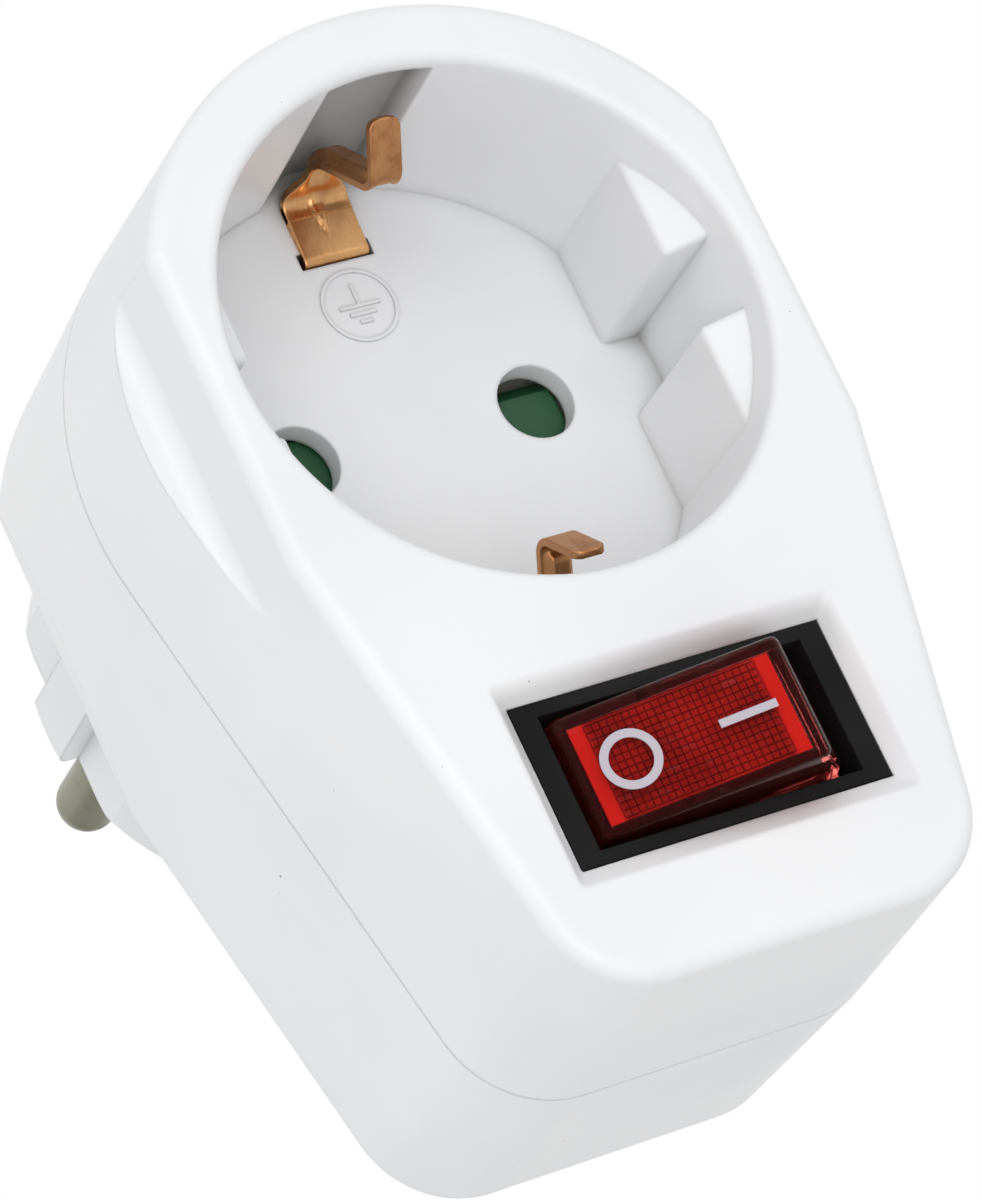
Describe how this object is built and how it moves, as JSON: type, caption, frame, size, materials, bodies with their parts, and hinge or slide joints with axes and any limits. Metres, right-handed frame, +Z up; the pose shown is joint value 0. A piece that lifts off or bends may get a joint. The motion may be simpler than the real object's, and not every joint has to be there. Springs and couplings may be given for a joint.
{
  "type": "switched plug adapter",
  "caption": "White plug-in socket adapter with an earthed recessed outlet, child-proof shutter, side earth clips and an illuminated rocker switch below the outlet.",
  "frame": {"origin": "middle of the two plug pins on the plane of the casing's back, where it meets the wall", "axes": "+Y along the pins into the wall, -Y towards the outlet face, +Z up, away from the switch, +X to the right of someone facing the outlet"},
  "size_m": [0.0502, 0.0778, 0.0733],
  "materials": {
    "white_casing": "fine satin moulded plastic",
    "screw_steel": "zinc plated",
    "contact_brass": "stamped strip",
    "contact_silver": "silver rivet",
    "spring_steel": "drawn wire and strip",
    "earth_copper": "copper alloy strip",
    "pin_nickel": "turned, nickel plated brass",
    "carrier_plastic": "moulded",
    "shutter_green": "moulded",
    "switch_black": "fine matt texture",
    "lens_red": "clear red",
    "diffuser_red": "frosted red",
    "tray_red": "moulded",
    "mark_white": "printed",
    "lamp_glass": "clear",
    "resistor_lacquer": "lacquered",
    "plunger_plastic": "moulded"
  },
  "bodies": {
    "casing": {"front_shell": "white_casing", "rear_shell": "white_casing", "housing_screws": "screw_steel", "live_contact": "contact_brass", "neutral_contact": "contact_brass", "supply_strip": "contact_brass", "load_strip": "contact_brass", "neutral_strip": "contact_brass", "lamp_strip": "contact_brass", "load_terminal": "contact_brass", "supply_terminal": "contact_brass", "lamp_terminal": "contact_brass", "live_contact_clamp": "spring_steel", "neutral_contact_clamp": "spring_steel", "shutter_spring": "spring_steel", "earth_strap": "earth_copper", "upper_plug_earth_contact": "earth_copper", "lower_plug_earth_contact": "earth_copper", "live_pin": "pin_nickel", "neutral_pin": "pin_nickel", "contact_carrier": "carrier_plastic", "pin_bridge": "carrier_plastic", "switch_housing": "switch_black"},
    "rocker": {"rocker_lens": "lens_red", "rocker_diffuser": "diffuser_red", "rocker_tray": "tray_red", "rocker_marks": "mark_white", "neon_lamp": "lamp_glass", "lamp_resistor": "resistor_lacquer", "rocker_plunger": "plunger_plastic", "plunger_spring": "spring_steel"},
    "arm": {"contact_arm": "contact_brass", "arm_rivet": "contact_silver"},
    "shutter_rotor": {"shutter": "shutter_green"},
    "upper_clip": {"upper_earth_clip": "earth_copper"},
    "lower_clip": {"lower_earth_clip": "earth_copper"}
  },
  "joints": [
    {"name": "rocker_tilt", "type": "hinge", "parent": "casing", "child": "rocker", "pos_m": [0, -0.0326, -0.0329], "axis": [0, 0, 1], "range_deg": [0, 29]},
    {"name": "contact_arm_tilt", "type": "hinge", "parent": "casing", "child": "arm", "pos_m": [0, -0.02479, -0.0329], "axis": [0, 0, 1], "range_deg": [-14, 0]},
    {"name": "shutter_turn", "type": "hinge", "parent": "casing", "child": "shutter_rotor", "pos_m": [0, -0.0175, 0], "axis": [0, 1, 0], "range_deg": [0, 34], "stiffness_Nm_per_rad": 0.002, "springref_deg": -11.46},
    {"name": "upper_clip_flex", "type": "hinge", "parent": "casing", "child": "upper_clip", "pos_m": [0, -0.02125, 0.01935], "axis": [-1, 0, 0], "range_deg": [0, 9], "stiffness_Nm_per_rad": 0.5},
    {"name": "lower_clip_flex", "type": "hinge", "parent": "casing", "child": "lower_clip", "pos_m": [0, -0.02125, -0.01935], "axis": [1, 0, 0], "range_deg": [0, 9], "stiffness_Nm_per_rad": 0.5}
  ],
  "couplings": [
    {"joint": "contact_arm_tilt", "follows": "rocker_tilt", "ratio": -0.4827}
  ]
}
